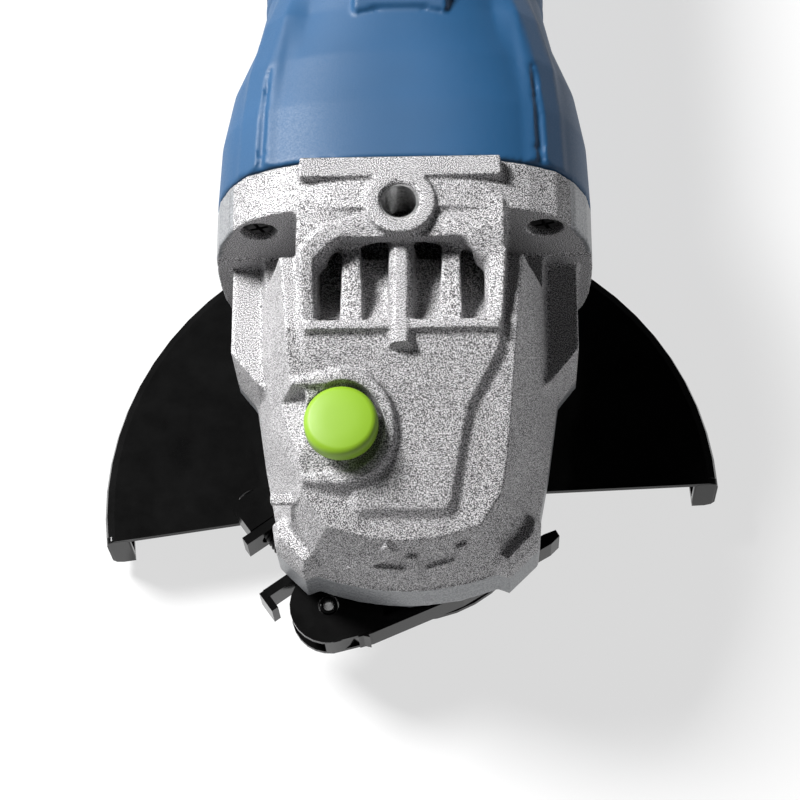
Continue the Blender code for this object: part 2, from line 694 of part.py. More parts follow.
def guard():
    """Half-round guard: plate, rounded shoulder, skirt and turned-in lip."""
    top, low = PLATE_Z, PLATE_Z - GUARD_SKIRT
    sheet = GUARD_SHEET
    section = [
        (BAND_R + 0.4, top),
        (GUARD_R - 2.2, top),
        (GUARD_R - 0.6, top - 0.7),
        (GUARD_R, top - 2.4),
        (GUARD_R, low + 2.2),
        (GUARD_R - 0.7, low + 0.7),
        (GUARD_R - 2.2, low),
        (GUARD_R - GUARD_LIP, low),
        (GUARD_R - GUARD_LIP, low + sheet),
        (GUARD_R - sheet - 0.2, low + sheet),
        (GUARD_R - sheet, top - 2.8),
        (GUARD_R - 2.6, top - sheet),
        (BAND_R + 0.4, top - sheet),
    ]
    start = 90 + GUARD_TURN - GUARD_SPAN / 2
    count = 34
    rings = []
    for i in range(count + 1):
        a = math.radians(start + GUARD_SPAN * i / count)
        rings.append([(r * math.cos(a), r * math.sin(a), z) for r, z in section])
    body = piece("guard", loft(rings), BLACK_STEEL, axis("guard_axis"))
    join(body, tube(BAND_R + 0.4, BAND_R + 7.0, top - sheet + 0.01, top - 0.01, 40))
    return body


def clamp_point(along, out):
    return CLAMP_FOOT + CLAMP_DIR * along + CLAMP_OUT * out


def clamp_plate(along_low, along_high, out_low, out_high, low, high):
    corners = [(along_low, out_low), (along_high, out_low), (along_high, out_high), (along_low, out_high)]
    return prism([clamp_point(a, o) for a, o in corners], low, high)


def clamp_rod(radius, low, high, count):
    """A round rod along the clamp bolt's axis."""
    bm = cylinder(radius, low, high, count)
    direction = Vector((CLAMP_DIR.x, CLAMP_DIR.y, 0))
    turn = Vector((0, 0, 1)).rotation_difference(direction).to_matrix().to_4x4()
    bm.transform(turn)
    return moved(bm, CLAMP_FOOT.x, CLAMP_FOOT.y, CLAMP_Z)


def guard_clamp():
    hub = bpy.data.objects["guard_axis"]
    outer = BAND_R + BAND_SHEET
    middle = math.degrees(math.atan2(CLAMP_OUT.y, CLAMP_OUT.x))
    gap_start, gap_end = -25, 5
    sweep = 360 - gap_end + gap_start
    outline = circle(outer, 41, middle + gap_end, sweep)
    outline += circle(BAND_R, 41, middle + gap_end + sweep, -sweep)
    band = piece("clamp_band", prism(outline, PLATE_Z + GAP, 26.2), BLACK_STEEL, hub)
    join(
        band,
        clamp_plate(-11.2, -9.2, -10.6, 6.5, 18.2, 26.1),
        clamp_plate(1.4, 3.4, -8.4, 9.6, 18.2, 26.1),
        clamp_plate(1.5, 6.4, 9.0, 10.6, 18.3, 26.0),
    )
    cut(band, clamp_rod(2.9, -12, 8, 16))
    bolt = piece("clamp_bolt", clamp_rod(2.2, -20.5, PIVOT_ALONG - 1, 16), STEEL, hub)
    pivot = clamp_point(PIVOT_ALONG, 0)
    join(bolt, moved(cylinder(4.2, 19.9, 24.5, 20), pivot.x, pivot.y))
    cut(bolt, moved(cylinder(2.3, 19, 26, 16), pivot.x, pivot.y))
    nut = piece("clamp_nut", clamp_plate(-19.0, -11.5, -4.2, 4.2, 18.2, 26.0), BLACK_STEEL, hub)
    cut(nut, clamp_rod(2.5, -20, -8, 16))
    piece("lever_pin", moved(cylinder(2.0, 17.6, 26.6, 16), pivot.x, pivot.y), STEEL, hub)


def lever():
    """Over-centre lever: a clevis round the bolt's eye and an arm that hugs the nose."""
    pivot = clamp_point(PIVOT_ALONG, 0)
    hub = axis("lever_axis", pivot.x, pivot.y)
    eye_r = 8.4
    neck = [(7.0, -6.8), (12.5, -4.6), (11.5, -0.4), (5.5, 2.6)]
    outline = circle(eye_r, 19, 25, 250) + [Vector(p) for p in neck]
    arm = piece("clamp_lever", prism(outline, 25.0, 26.3), BLACK_STEEL, hub)
    wall = circle(eye_r, 7, -95, 45) + [Vector((9.0, -7.2)), Vector((8.0, -5.4))]
    wall += circle(eye_r - 1.6, 7, -50, -45)
    outer = [(6.5, -7.2), (9.4, -6.4), (29.0, 2.0), (40.6, 9.0), (48.2, 13.4), (50.0, 15.2)]
    inner = [(49.2, 16.6), (46.6, 15.6), (39.4, 11.2), (28.0, 4.2), (9.0, -3.8), (6.5, -4.6)]
    join(
        arm,
        prism(outline, 18.0, 19.3),
        prism(wall, 18.4, 26.0),
        prism([Vector(p) for p in outer + inner], 18.2, 26.1),
    )
    cut(arm, cylinder(2.3, 16, 28, 16))


# ------------------------------------------------------------------------ main


def main():
    for obj in list(bpy.data.objects):
        bpy.data.objects.remove(obj)
    gear_housing()
    bearing_cover()
    screws()
    spindle_group()
    lock_group()
    rotor_group()
    stator()
    fan_baffle()
    brush_gear()
    motor_housing()
    rear_cover()
    slider_group()
    guard()
    guard_clamp()
    lever()
    outer_races = (("front", 7.9, 14.3, 28.0, 36.0), ("rear", 6.6, 9.5, 145.0, 151.0))
    for name, inner, outer, low, high in outer_races:
        piece(f"rotor_bearing_{name}_outer", along_y(tube(inner, outer, low, high, 28)), STEEL)


main()
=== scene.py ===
"""Looks of the angle grinder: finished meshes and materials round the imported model.

Lengths below are in millimetres unless a name ends in _M. The frame's origin is the spindle's lower
end, +Z is up and the motor barrel runs back along +Y.
"""

import math

import bmesh
import bpy
from mathutils import Matrix, Vector
from mathutils.bvhtree import BVHTree


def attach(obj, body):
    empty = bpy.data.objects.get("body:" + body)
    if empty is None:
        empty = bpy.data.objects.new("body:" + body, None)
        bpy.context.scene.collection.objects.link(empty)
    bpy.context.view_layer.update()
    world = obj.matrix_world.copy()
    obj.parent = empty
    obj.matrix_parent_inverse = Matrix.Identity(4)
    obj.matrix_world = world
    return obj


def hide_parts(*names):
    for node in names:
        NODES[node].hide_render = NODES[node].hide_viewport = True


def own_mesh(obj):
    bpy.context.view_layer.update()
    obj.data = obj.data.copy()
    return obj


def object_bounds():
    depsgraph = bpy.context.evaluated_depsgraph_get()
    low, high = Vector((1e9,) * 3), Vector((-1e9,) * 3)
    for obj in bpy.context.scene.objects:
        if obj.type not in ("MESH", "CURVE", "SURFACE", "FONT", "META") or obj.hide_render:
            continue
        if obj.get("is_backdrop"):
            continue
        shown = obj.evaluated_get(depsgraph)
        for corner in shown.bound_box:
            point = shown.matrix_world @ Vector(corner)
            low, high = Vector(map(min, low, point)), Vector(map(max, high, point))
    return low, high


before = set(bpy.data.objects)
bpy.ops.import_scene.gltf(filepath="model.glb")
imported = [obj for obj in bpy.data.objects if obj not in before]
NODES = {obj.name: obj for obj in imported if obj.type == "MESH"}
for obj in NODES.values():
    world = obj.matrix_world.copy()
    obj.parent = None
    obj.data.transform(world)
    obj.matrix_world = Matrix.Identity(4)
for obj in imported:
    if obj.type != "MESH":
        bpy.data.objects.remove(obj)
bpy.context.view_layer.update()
MM = 0.001
WELD_M = 1e-7
BEVEL_ANGLE = 28  # degrees, sharper edges are bevelled
STOOD_FOR = set()  # CAD nodes that a finished mesh stands for


# ------------------------------------------------------------------- material


class Shader:
    """A short way to write a material's node tree."""

    def __init__(self, name):
        self.material = bpy.data.materials.new(name)
        self.material.use_nodes = True
        self.nodes = self.material.node_tree.nodes
        self.links = self.material.node_tree.links
        self.principled = self.nodes["Principled BSDF"]
        self.place = self.nodes.new("ShaderNodeTexCoord").outputs["Object"]

    def set(self, **values):
        """Sets the shader's own sockets, whose names have _ for each space."""
        for key, value in values.items():
            self.principled.inputs[key.replace("_", " ")].default_value = value

    def link(self, output, socket):
        self.links.new(output, self.principled.inputs[socket])

    def noise(self, size, detail=2.0, roughness=0.5, stretch=None):
        """Noise whose grains are about size millimetres across."""
        node = self.nodes.new("ShaderNodeTexNoise")
        node.inputs["Scale"].default_value = 1 / (size * MM)
        node.inputs["Detail"].default_value = detail
        node.inputs["Roughness"].default_value = roughness
        place = self.place
        if stretch:
            mapping = self.nodes.new("ShaderNodeMapping")
            mapping.inputs["Scale"].default_value = stretch
            self.links.new(place, mapping.inputs["Vector"])
            place = mapping.outputs["Vector"]
        self.links.new(place, node.inputs["Vector"])
        return node.outputs["Fac"]

    def bands(self, scale, distortion=0.0):
        """Even bands that follow each other along Y."""
        node = self.nodes.new("ShaderNodeTexWave")
        node.bands_direction = "Y"
        node.inputs["Scale"].default_value = scale
        node.inputs["Distortion"].default_value = distortion
        self.links.new(self.place, node.inputs["Vector"])
        return node.outputs["Fac"]

    def ramp(self, value, *stops):
        """Turns a value into a colour, by stops of (value, grey or colour)."""
        node = self.nodes.new("ShaderNodeValToRGB")
        elements = node.color_ramp.elements
        while len(elements) < len(stops):
            elements.new(0.5)
        for element, (at, colour) in zip(elements, stops):
            element.position = at
            grey = isinstance(colour, (int, float))
            element.color = (colour, colour, colour, 1) if grey else (*colour, 1)
        self.links.new(value, node.inputs["Fac"])
        return node.outputs["Color"]

    def multiply(self, share, first, second):
        """The first colour darkened by the second, to that share."""
        node = self.nodes.new("ShaderNodeMix")
        node.data_type = "RGBA"
        node.blend_type = "MULTIPLY"
        sockets = {socket.name: socket for socket in node.inputs if socket.enabled}
        sockets["Factor"].default_value = share
        self.links.new(first, sockets["A"])
        self.links.new(second, sockets["B"])
        return next(socket for socket in node.outputs if socket.enabled)

    def bump(self, height, strength, distance, after=None):
        """Bump of that distance in millimetres, on top of an earlier one."""
        node = self.nodes.new("ShaderNodeBump")
        node.inputs["Strength"].default_value = strength
        node.inputs["Distance"].default_value = distance * MM
        self.links.new(height, node.inputs["Height"])
        if after:
            self.links.new(after, node.inputs["Normal"])
        self.link(node.outputs["Normal"], "Normal")
        return node.outputs["Normal"]


def cast_aluminium():
    """Bead-blasted casting: fine bright and dark grains over a slow drift of tone."""
    s = Shader("cast_aluminium")
    s.set(Metallic=0.12, Specular_IOR_Level=0.35)
    grain = s.noise(0.2, 0.0, 0.5)
    drift = s.noise(14.0, 3.0)
    dark, middle, light = (0.035, 0.034, 0.035), (0.26, 0.255, 0.26), (0.72, 0.71, 0.72)
    speckle = s.ramp(grain, (0.38, dark), (0.5, middle), (0.62, light))
    tone = s.ramp(drift, (0.3, 0.88), (0.7, 1.0))
    s.link(s.multiply(1.0, speckle, tone), "Base Color")
    s.link(s.ramp(grain, (0.35, 0.7), (0.65, 0.52)), "Roughness")
    fine = s.bump(grain, 0.3, 0.012)
    s.bump(s.noise(1.3, 2.0), 0.2, 0.03, fine)
    return s.material


def machined_aluminium():
    """Smoother skin of the trimmed band and flange: faint lines along it and fine pitting."""
    s = Shader("machined_aluminium")
    s.set(Metallic=0.3)
    lines = s.noise(1.1, 4.0, 0.6, (0.06, 0.06, 2.2))
    pits = s.noise(0.4, 2.0, 0.7)
    tone = s.ramp(lines, (0.3, (0.24, 0.25, 0.265)), (0.7, (0.38, 0.39, 0.405)))
    pitting = s.ramp(pits, (0.36, 0.2), (0.62, 1.0))
    s.link(s.multiply(0.75, tone, pitting), "Base Color")
    s.link(s.ramp(lines, (0.3, 0.3), (0.7, 0.45)), "Roughness")
    s.bump(pits, 0.3, 0.04)
    return s.material


def gloss_black(name, base, roughness):
    """Powder coat or gloss paint, with orange peel and faint rubs."""
    s = Shader(name)
    s.set(Specular_IOR_Level=0.12)
    peel = s.noise(2.6, 2.0)
    rubs = s.noise(9.0, 5.0, 0.7)
    s.link(s.ramp(rubs, (0.35, base * 0.8), (0.75, base * 1.4)), "Base Color")
    s.link(s.ramp(rubs, (0.35, roughness), (0.8, roughness + 0.05)), "Roughness")
    s.bump(peel, 0.12, 0.05)
    return s.material


def moulded(name, colour, roughness, grain, depth, drift):
    """Moulded plastic with a spark-eroded grain, whose colour drifts by that share."""
    s = Shader(name)
    texture = s.noise(grain, 3.0, 0.6)
    slow = s.noise(22.0, 3.0)
    dark = tuple(c * (1 - drift) for c in colour)
    light = tuple(c * (1 + drift) for c in colour)
    s.link(s.ramp(slow, (0.3, dark), (0.7, light)), "Base Color")
    s.link(s.ramp(texture, (0.3, roughness - 0.05), (0.7, roughness + 0.08)), "Roughness")
    s.bump(texture, 0.35, depth)
    return s.material


def turned_metal(name, dark, light, roughness, stretch):
    """Turned, ground or drawn metal, whose fine lines run across the stretched axis."""
    s = Shader(name)
    s.set(Metallic=1.0)
    lines = s.noise(0.5, 4.0, 0.65, stretch)
    smudge = s.noise(6.0, 4.0, 0.6)
    s.link(s.ramp(lines, (0.3, dark), (0.7, light)), "Base Color")
    s.link(s.ramp(smudge, (0.3, roughness - 0.07), (0.75, roughness + 0.12)), "Roughness")
    s.bump(lines, 0.3, 0.02)
    return s.material


def wound_copper():
    """Enamelled wire, as rows of rounded turns, with painted shade darkening the grooves between them."""
    s = Shader("wound_copper")
    s.set(Metallic=0.9)
    wires = s.bands(420.0, 1.5)
    # The dark end of this ramp lies between the turns: painted shade in the grooves, over the wire's own
    # copper colour.
    s.link(s.ramp(wires, (0.1, (0.16, 0.045, 0.015)), (0.8, (0.75, 0.3, 0.12))), "Base Color")
    s.link(s.ramp(s.noise(3.0), (0.3, 0.28), (0.7, 0.42)), "Roughness")
    s.bump(wires, 0.8, 0.25)
    return s.material


def laminations():
    """Edges of thin stacked sheets."""
    s = Shader("laminations")
    s.set(Metallic=0.8)
    sheets = s.bands(640.0)
    s.link(s.ramp(sheets, (0.1, (0.09, 0.08, 0.075)), (0.7, (0.33, 0.31, 0.29))), "Base Color")
    s.link(s.ramp(s.noise(2.0), (0.3, 0.4), (0.7, 0.6)), "Roughness")
    s.bump(sheets, 0.5, 0.08)
    return s.material


MATERIALS = {
    "cast": cast_aluminium(),
    "machined": machined_aluminium(),
    "gloss": gloss_black("gloss_black", 0.004, 0.12),
    "blackened": gloss_black("blackened_screw", 0.012, 0.3),
    "blue": moulded("blue_nylon", (0.006, 0.06, 0.15), 0.55, 0.4, 0.03, 0.06),
    "green": moulded("green_button", (0.2, 0.36, 0.012), 0.5, 0.3, 0.02, 0.03),
    "black": moulded("black_nylon", (0.017, 0.017, 0.018), 0.5, 0.6, 0.06, 0.25),
    "carbon": moulded("carbon", (0.03, 0.03, 0.032), 0.75, 0.5, 0.05, 0.3),
    "steel": turned_metal("bright_steel", (0.42, 0.42, 0.43), (0.68, 0.68, 0.69), 0.28, (1, 1, 3.5)),
    "bright": turned_metal("cut_thread", (0.3, 0.3, 0.3), (0.55, 0.55, 0.55), 0.35, (1, 1, 1)),
    "bronze": turned_metal("bronze", (0.42, 0.27, 0.1), (0.68, 0.48, 0.22), 0.34, (1, 1, 3)),
    "copper": wound_copper(),
    "laminations": laminations(),
}


def finish(obj, *names):
    """Gives obj the named materials and no others."""
    obj.data.materials.clear()
    for name in names:
        obj.data.materials.append(MATERIALS[name])
    return obj


# ------------------------------------------------------------------ mesh tools


def mesh_object(name, bm):
    """A new object with the mesh of bm, which is freed."""
    mesh = bpy.data.meshes.new(name)
    bm.to_mesh(mesh)
    bm.free()
    obj = bpy.data.objects.new(name, mesh)
    bpy.context.scene.collection.objects.link(obj)
    return obj


def node_mesh(name):
    """A new bmesh with a copy of that CAD node, welded."""
    bm = bmesh.new()
    bm.from_mesh(NODES[name].data)
    bmesh.ops.remove_doubles(bm, verts=bm.verts, dist=WELD_M)
    return bm


def merge(bm, other):
    """Adds another bmesh to bm and frees it."""
    mesh = bpy.data.meshes.new("merge")
    other.to_mesh(mesh)
    other.free()
    bm.from_mesh(mesh)
    bpy.data.meshes.remove(mesh)
    return bm


def loft(rings):
    """A closed solid through rings that have the same number of points."""
    bm = bmesh.new()
    made = [[bm.verts.new(Vector(p) * MM) for p in ring] for ring in rings]
    for low, high in zip(made, made[1:]):
        for i in range(len(low)):
            j = (i + 1) % len(low)
            bm.faces.new((low[i], low[j], high[j], high[i]))
    bm.faces.new(list(reversed(made[0])))
    bm.faces.new(made[-1])
    bmesh.ops.recalc_face_normals(bm, faces=bm.faces)
    return bm


def prism(outline, low, high):
    """A solid between two heights, over an outline of (x, y)."""
    return loft([[(x, y, z) for x, y in outline] for z in (low, high)])


def prism_x(outline, low, high):
    """A solid between two places on X, over an outline of (y, z)."""
    return loft([[(x, y, z) for y, z in outline] for x in (low, high)])


def prism_y(outline, low, high):
    """A solid between two places on Y, over an outline of (x, z)."""
    return loft([[(x, y, z) for x, z in outline] for y in (low, high)])


def arc(centre, radius, start, end, count):
    """Points of an arc in degrees, both ends included."""
    points = []
    for i in range(count + 1):
        a = math.radians(start + (end - start) * i / count)
        points.append((centre[0] + radius * math.cos(a), centre[1] + radius * math.sin(a)))
    return points


def turned(profile, count):
    """A solid of revolution about Z from (radius, height) points, whose ends may lie on the axis."""
    bm = bmesh.new()
    columns = []
    for i in range(count):
        a = 2 * math.pi * i / count
        column = [(r * math.cos(a), r * math.sin(a), z) for r, z in profile]
        columns.append([bm.verts.new(Vector(point) * MM) for point in column])
    for i in range(count):
        a, b = columns[i], columns[(i + 1) % count]
        for j in range(len(profile)):
            k = (j + 1) % len(profile)
            on_axis = profile[j][0] == 0 and profile[k][0] == 0
            if not on_axis:
                bm.faces.new((a[j], a[k], b[k], b[j]))
    bmesh.ops.remove_doubles(bm, verts=bm.verts, dist=WELD_M)
    bmesh.ops.recalc_face_normals(bm, faces=bm.faces)
    return bm


def moved(bm, x=0.0, y=0.0, z=0.0):
    bm.transform(Matrix.Translation(Vector((x, y, z)) * MM))
    return bm


def bake(obj):
    """Applies the object's modifiers to its mesh."""
    depsgraph = bpy.context.evaluated_depsgraph_get()
    depsgraph.update()
    mesh = bpy.data.meshes.new_from_object(obj.evaluated_get(depsgraph))
    old = obj.data
    obj.modifiers.clear()
    obj.data = mesh
    bpy.data.meshes.remove(old)
    return obj


def cut(obj, bm):
    """Cuts the solid bm away from obj at once, and frees it."""
    tool = mesh_object("tool", bm)
    modifier = obj.modifiers.new("boolean", "BOOLEAN")
    modifier.operation = "DIFFERENCE"
    modifier.solver = "EXACT"
    modifier.object = tool
    bake(obj)
    bpy.data.objects.remove(tool)


def remesh(obj, voxel, rounds=0):
    """Rebuilds obj as an even skin, then relaxes it, which rounds its edges by about a voxel."""
    modifier = obj.modifiers.new("remesh", "REMESH")
    modifier.mode = "VOXEL"
    modifier.voxel_size = voxel * MM
    modifier.use_smooth_shade = True
    bake(obj)
    if rounds:
        smooth = obj.modifiers.new("smooth", "SMOOTH")
        smooth.factor = 0.5
        smooth.iterations = rounds
        bake(obj)
    obj.data.shade_smooth()


def rounded(obj, width, segments=3):
    """Bevels the sharp edges of obj and shades it smooth."""
    modifier = obj.modifiers.new("bevel", "BEVEL")
    modifier.width = width * MM
    modifier.segments = segments
    modifier.limit_method = "ANGLE"
    modifier.angle_limit = math.radians(BEVEL_ANGLE)
    modifier.harden_normals = True
    obj.data.shade_smooth()
    return obj


def stand_in(obj, body, node):
    """obj takes the place of that CAD node on that body."""
    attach(obj, body)
    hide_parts(node)
    STOOD_FOR.add(node)
    return obj


# ------------------------------------------------------------------- gear head

BAND_TOP, NOSE_TOP = 41.0, 80.0
NOSE_START, NOSE_FALL = 14.0, 0.404  # y where the top starts to fall towards the nose, and its slope
MOTOR_Z = 53.0
LOCK = (-12.1, -5.8)
HANDLE_Y = 38.0  # handle hole on the top
SIDE_HOLE_Y, SIDE_HOLE_Z = 27.0, 48.0
HEAD_VOXEL = 0.35
THREAD_ROWS = 6  # rows of points along each turn of a thread


def head_top(y):
    """Height of the head's top: flat at the back, falling towards the nose."""
    return NOSE_TOP - max(0.0, NOSE_START - y) * NOSE_FALL


def front(x, z):
    """y of the nose's front slope at x and z: blunt in the middle and swept back beyond a crease."""
    reach = abs(x)
    low = -29.5 + reach * 0.118 if reach < 11 else -28.2 + (reach - 11) * 0.327
    high = -26.4 + reach * 0.08 if reach < 7.5 else -25.8 + (reach - 7.5) * 0.275
    share = (z - BAND_TOP) / (head_top(high) - BAND_TOP)
    return low + (high - low) * share


def casting_marks():
    """Plain raised marks on the nose: an arrowhead with its shaft, and a stepped tab."""
    sunk, proud = 1.6, 1.15
    arrow = [(-13.0, 49.0), (-3.6, 63.0), (-1.2, 60.0), (-7.2, 52.6), (0.3, 52.6), (0.3, 49.0)]
    stem = [(0.1, 44.6), (2.7, 44.6), (2.7, 58.0), (0.1, 58.0)]
    tab = [(4.2, 49.2), (12.6, 51.6), (12.6, 60.0), (10.4, 59.6), (10.4, 54.4), (4.2, 52.4)]
    marks = []
    for mark in (arrow, stem, tab):
        marks.append(loft([[(x, front(x, z) + depth, z) for x, z in mark] for depth in (sunk, -proud)]))
    return marks


def vent_floor():
    """Scooped floor between the ribs of the air outlet, with its uneven cast lip, sill and side walls."""
    scoop = [(12.9, 76.0), (12.9, 79.4), (14.6, 79.2), (17.5, 77.2), (22.0, 75.2)]
    scoop += [(28.0, 74.4), (31.4, 74.6), (31.4, 70), (14.0, 70)]
    parts = [prism_x(scoop, -8.7, 8.7)]
    edge = [(x * 0.5, 14.5 + 0.55 * math.sin(x * 0.9) + 0.3 * math.sin(x * 2.3)) for x in range(-33, 34)]
    parts.append(prism(edge + [(16.6, 12.2), (-16.6, 12.2)], 74.0, 79.7))
    sill = [(11.6, 79.0), (12.3, 82.5), (14.2, 82.3), (15.0, 79.0)]
    parts.append(prism_x(sill, -19.4, 19.6))
    wall = [(12.4, 13), (7.6, 13), (8.4, 33), (12.0, 33)]
    fillet = [(10.5, 12.2), (17.1, 12.2), (17.1, 17.0), (14.5, 15.2), (12.0, 15.0)]
    for side in (-1, 1):
        parts.append(prism([(side * x, y) for x, y in wall], 71, 79.9))
        parts.append(prism([(side * x, y) for x, y in fillet], 74, 79.4))
    return parts


def flank_cut(side):
    """Wedge that turns the top edge of one flank into a broad sloping facet."""
    foot, beyond, above = 60, 45, 4
    stations = [(-17, 20.2, 22.3), (-4, 21.8, 26.2), (14, 23.4, 29.6), (29, 24.8, 30.0), (36.9, 25.6, 30.2)]
    rings = []
    for y, ridge, edge in stations:
        top = head_top(y)
        outline = [(ridge, top + above), (ridge, top), (edge, foot), (beyond, foot), (beyond, top + above)]
        rings.append([(side * x, y, z) for x, z in outline])
    return loft(rings)


def vent_arch():
    """Raised rim round the air outlet, arched over its top up to the handle boss."""
    outer = [(-20.2, 13.2), (-20.6, 28.6), (-16.2, 33.2), (-6.0, 35.8)]
    outer += [(6.0, 35.8), (17.4, 33.2), (21.4, 28.4), (20.4, 13.2)]
    inner = [(-17.4, 13.2), (-17.6, 27.0), (-13.2, 30.6), (-5.0, 32.6)]
    inner += [(5.0, 32.6), (13.6, 30.6), (17.8, 27.0), (17.2, 13.2)]
    foot, crest, rise, slant = 79.0, 82.2, 4.3, 0.7
    climb_start, climb_length = 24.0, 7.0
    bm = bmesh.new()
    for i in range(len(outer) - 1):
        corners = (outer[i], outer[i + 1], inner[i + 1], inner[i])
        climbs = [max(0.0, min(1.0, (y - climb_start) / climb_length)) for x, y in corners[:2]]
        first, second = (crest + rise * climb for climb in climbs)
        heights = (first, second, second - slant, first - slant)
        bottom = [(x, y, foot) for x, y in corners]
        top = [(x, y, z) for (x, y), z in zip(corners, heights)]
        merge(bm, loft([bottom, top]))
    return bm


def nose_apron():
    """Rounded front of the band, whose corners the straight-sided casting only roughs out."""
    half, tip, sweep = 22, -29.62, 4.85
    curve = [(x, tip + sweep * (x / half) ** 2) for x in range(-half, half + 1, 2)]
    return prism(curve + [(20, -14), (-20, -14)], 30.5, BAND_TOP)


def panel_step():
    """Drafted edge of the low plateau between the air outlet and the nose."""
    right = [(8.5, -21.0), (9.6, -19.8), (11.5, -10.0), (13.5, -1.5), (19.6, 8.6), (20.0, 12.0)]

    def ring(grow, rise):
        half = [(x + grow, y - (grow if y < -19 else 0)) for x, y in right]
        whole = half + [(-x, y) for x, y in reversed(half)]
        return [(x, y, head_top(y) + rise) for x, y in whole]

    return loft([ring(1.5, -3.0), ring(1.3, -0.05), ring(-0.2, 1.6)])


def button_collar():
    """Drafted U-shaped wall round the lock button, whose arms sink into the left flank."""
    x0, y0 = LOCK
    left, slope, wall = -27.0, 0.34, 7.9

    def ring(outer, rise):
        points = [(left, y0 - outer + 1.6)] + arc(LOCK, outer, -90, 90, 20) + [(left, y0 + outer - 1.6)]
        points += [(left, y0 + wall + 0.8)] + arc(LOCK, wall, 90, -90, 20) + [(left, y0 - wall - 0.8)]
        return [(x, y, head_top(y) + rise - slope * max(0.0, x0 - 3.0 - x)) for x, y in points]

    return loft([ring(12.6, -4.0), ring(12.2, -0.2), ring(10.6, 3.4)])


def post_cap(side):
    """Lug over the cover screw at one front corner, standing proud of the slope."""
    plan = [(17.8, -25.6), (21.4, -27.0), (27.6, -20.9), (28.2, -16.4), (23.6, -14.6), (18.0, -19.0)]
    top = [(19.4, -24.9), (21.0, -25.9), (26.4, -20.3), (26.8, -17.2), (24.0, -15.4), (19.2, -20.6)]
    levels = [(plan, 30.6), (plan, 46.0), (top, 50.6)]
    return loft([[(side * x, y, z) for x, y in ring] for ring, z in levels])


def thread_depth(depth, phase):
    """How deep a pointed thread is at that share of its turn."""
    return depth * min(phase, 1 - phase) * 2


def internal_thread(length):
    """Sleeve about Z from 0 down, with a coarse M8 thread on its inside."""
    radius, depth, pitch, wall, columns = 3.3, 0.62, 1.25, 0.4, 40
    outside = radius + depth + wall
    rows = int(length / pitch * THREAD_ROWS)
    bm = bmesh.new()
    inner, outer = [], []
    for j in range(rows + 1):
        ring, shell_ring = [], []
        z = -length * j / rows
        for i in range(columns):
            a = 2 * math.pi * i / columns
            r = radius + thread_depth(depth, (j / THREAD_ROWS + i / columns) % 1.0)
            ring.append(bm.verts.new(Vector((r * math.cos(a), r * math.sin(a), z)) * MM))
            shell_ring.append(bm.verts.new(Vector((outside * math.cos(a), outside * math.sin(a), z)) * MM))
        inner.append(ring)
        outer.append(shell_ring)
    for j in range(rows):
        for i in range(columns):
            k = (i + 1) % columns
            bm.faces.new((inner[j][i], inner[j + 1][i], inner[j + 1][k], inner[j][k]))
            bm.faces.new((outer[j][i], outer[j][k], outer[j + 1][k], outer[j + 1][i]))
    for i in range(columns):
        k = (i + 1) % columns
        bm.faces.new((inner[0][i], inner[0][k], outer[0][k], outer[0][i]))
        bm.faces.new((inner[-1][k], inner[-1][i], outer[-1][i], outer[-1][k]))
    bmesh.ops.recalc_face_normals(bm, faces=bm.faces)
    return bm


def handle_bore(mouth, end):
    """A handle hole's bore about Z, with a chamfer under its mouth."""
    wide, narrow = 4.6, 3.9
    profile = [(wide, mouth), (wide, mouth - 1.0), (narrow, mouth - 1.7), (narrow, end), (0, end), (0, mouth)]
    return turned(profile, 40)


def cut_openings(obj):
    """Cuts the flanks' facets, the lock button's bore and the three handle holes."""
    cut(obj, flank_cut(-1))
    cut(obj, flank_cut(1))
    cut(obj, moved(turned([(0, 71.0), (8.5, 71.0), (8.5, 90.0), (0, 90.0)], 48), *LOCK))
    cut(obj, moved(handle_bore(89.0, 73.0), y=HANDLE_Y))
    for side in (-1, 1):
        bore = handle_bore(37.5, 22.0)
        bore.transform(Matrix.Rotation(side * math.pi / 2, 4, "Y"))
        cut(obj, moved(bore, 0, SIDE_HOLE_Y, SIDE_HOLE_Z))


def is_machined(centre, normal):
    """Whether a face of the head lies on the trimmed band, the side pads or the flange."""
    band = centre.z < BAND_TOP - 0.2 and centre.y < 20 and abs(normal.z) < 0.6
    pad = centre.y > 37.4 and abs(centre.x) > 34.9
    flange = centre.y > 47.6
    return band or pad or flange


def handle_threads():
    """Bright cut threads inside the three handle holes."""
    top = mesh_object("handle_thread_top", moved(internal_thread(11.0), 0, HANDLE_Y, 87.2))
    sleeves = bmesh.new()
    for side in (-1, 1):
        sleeve = internal_thread(9.0)
        sleeve.transform(Matrix.Rotation(side * math.pi / 2, 4, "Y"))
        merge(sleeves, moved(sleeve, side * 35.7, SIDE_HOLE_Y, SIDE_HOLE_Z))
    for thread in (top, mesh_object("handle_thread_sides", sleeves)):
        finish(thread, "bright").data.set_sharp_from_angle(angle=math.radians(20))
        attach(thread, "body")


def gear_housing():
    """The cast gear head, rebuilt as one even skin with the details its CAD solid only roughs out."""
    bm = node_mesh("gear_housing")
    additions = casting_marks() + vent_floor()
    additions += [nose_apron(), panel_step(), button_collar(), post_cap(-1), post_cap(1), vent_arch()]
    for part in additions:
        merge(bm, part)
    obj = mesh_object("gear_head", bm)
    remesh(obj, HEAD_VOXEL)
    cut_openings(obj)
    remesh(obj, HEAD_VOXEL, 2)
    finish(obj, "cast", "machined")
    for polygon in obj.data.polygons:
        if is_machined(polygon.center / MM, polygon.normal):
            polygon.material_index = 1
    handle_threads()
    stand_in(obj, "body", "gear_housing")


# ------------------------------------------------------------ moulded housings


